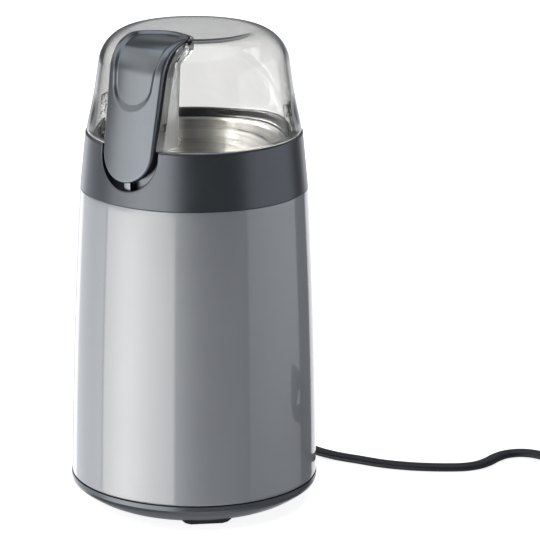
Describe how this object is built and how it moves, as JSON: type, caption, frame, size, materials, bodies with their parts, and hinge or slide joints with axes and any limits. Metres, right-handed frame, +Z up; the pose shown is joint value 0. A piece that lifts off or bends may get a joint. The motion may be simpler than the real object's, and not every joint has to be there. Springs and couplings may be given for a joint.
{
  "type": "electric spice grinder",
  "caption": "Tall rounded electric grinder with a clear lid, a sliding push button on the lid's front, a steel bowl with a blade, and a flat cord with a plug.",
  "frame": {"origin": "on the floor, under the middle of the grinder's round body", "axes": "+Z up along the axis of the body and motor, -Y towards the push button, +Y towards the cord's exit"},
  "size_m": [0.2116, 0.235, 0.1951],
  "materials": {
    "shell_metal": "satin",
    "slate_plastic": "matte",
    "dark_plastic": "matte",
    "clear_plastic": "clear gloss",
    "bowl_steel": "brushed",
    "screw_steel": "satin",
    "pin_metal": "polished",
    "rubber": "matte",
    "white_plastic": "matte",
    "switch_plastic": "satin",
    "bronze": "satin",
    "brass": "satin",
    "copper": "satin",
    "bracket_alloy": "cast",
    "lamination": "matte",
    "carbon": "matte",
    "wire_cover": "matte",
    "cord_cover": "satin",
    "tie_strap": "matte"
  },
  "bodies": {
    "housing": {"body_shell": "shell_metal", "base_cover": "dark_plastic", "rubber_feet": "rubber", "collar": "slate_plastic", "chassis": "white_plastic", "grinding_bowl": "bowl_steel", "bowl_gasket": "rubber", "shaft_seal": "rubber", "upper_bearing": "bronze", "lower_bearing": "bronze", "upper_bracket": "bracket_alloy", "lower_bracket": "bracket_alloy", "stator": "lamination", "field_coils": "copper", "rubber_mounts": "rubber", "brush_holders": "brass", "carbon_brushes": "carbon", "motor_screws": "screw_steel", "base_screws": "screw_steel", "collar_screws": "screw_steel", "microswitch": "switch_plastic", "switch_screws": "screw_steel", "switch_terminals": "brass", "plunger_spring": "screw_steel", "inner_wires": "wire_cover", "cord_clamp": "dark_plastic", "clamp_screws": "screw_steel", "strain_relief": "cord_cover", "power_cord": "cord_cover", "cord_coil": "cord_cover", "cord_tail": "cord_cover", "coil_tie": "tie_strap", "plug_body": "cord_cover", "plug_pins": "pin_metal"},
    "lid": {"lid": "clear_plastic"},
    "push_button": {"push_button": "slate_plastic"},
    "switch_plunger": {"switch_plunger": "white_plastic"},
    "switch_lever": {"switch_lever": "screw_steel"},
    "rotor": {"motor_shaft": "screw_steel", "armature": "lamination", "armature_windings": "copper", "commutator": "copper", "cooling_fan": "white_plastic", "blade": "bowl_steel", "blade_nut": "screw_steel"}
  },
  "joints": [
    {"name": "lid_lift", "type": "slide", "parent": "housing", "child": "lid", "axis": [0, 0, 1], "range_m": [0, 0.06]},
    {"name": "button_press", "type": "slide", "parent": "lid", "child": "push_button", "axis": [0, 0, -1], "range_m": [0, 0.003], "stiffness_N_per_m": 900, "springref_m": -0.001},
    {"name": "plunger_slide", "type": "slide", "parent": "housing", "child": "switch_plunger", "axis": [0, 0, -1], "range_m": [0, 0.003], "deforming": ["plunger_spring"]},
    {"name": "lever_swing", "type": "hinge", "parent": "housing", "child": "switch_lever", "pos_m": [-0.015, -0.0364, 0.098], "axis": [0, 1, 0], "range_deg": [0, 11.5]},
    {"name": "rotor_spin", "type": "hinge", "parent": "housing", "child": "rotor", "pos_m": [0, 0, 0.06], "axis": [0, 0, 1], "continuous": true}
  ],
  "couplings": [
    {"joint": "plunger_slide", "follows": "button_press", "ratio": 1},
    {"joint": "lever_swing", "follows": "button_press", "rad_per_m": 64.4}
  ]
}
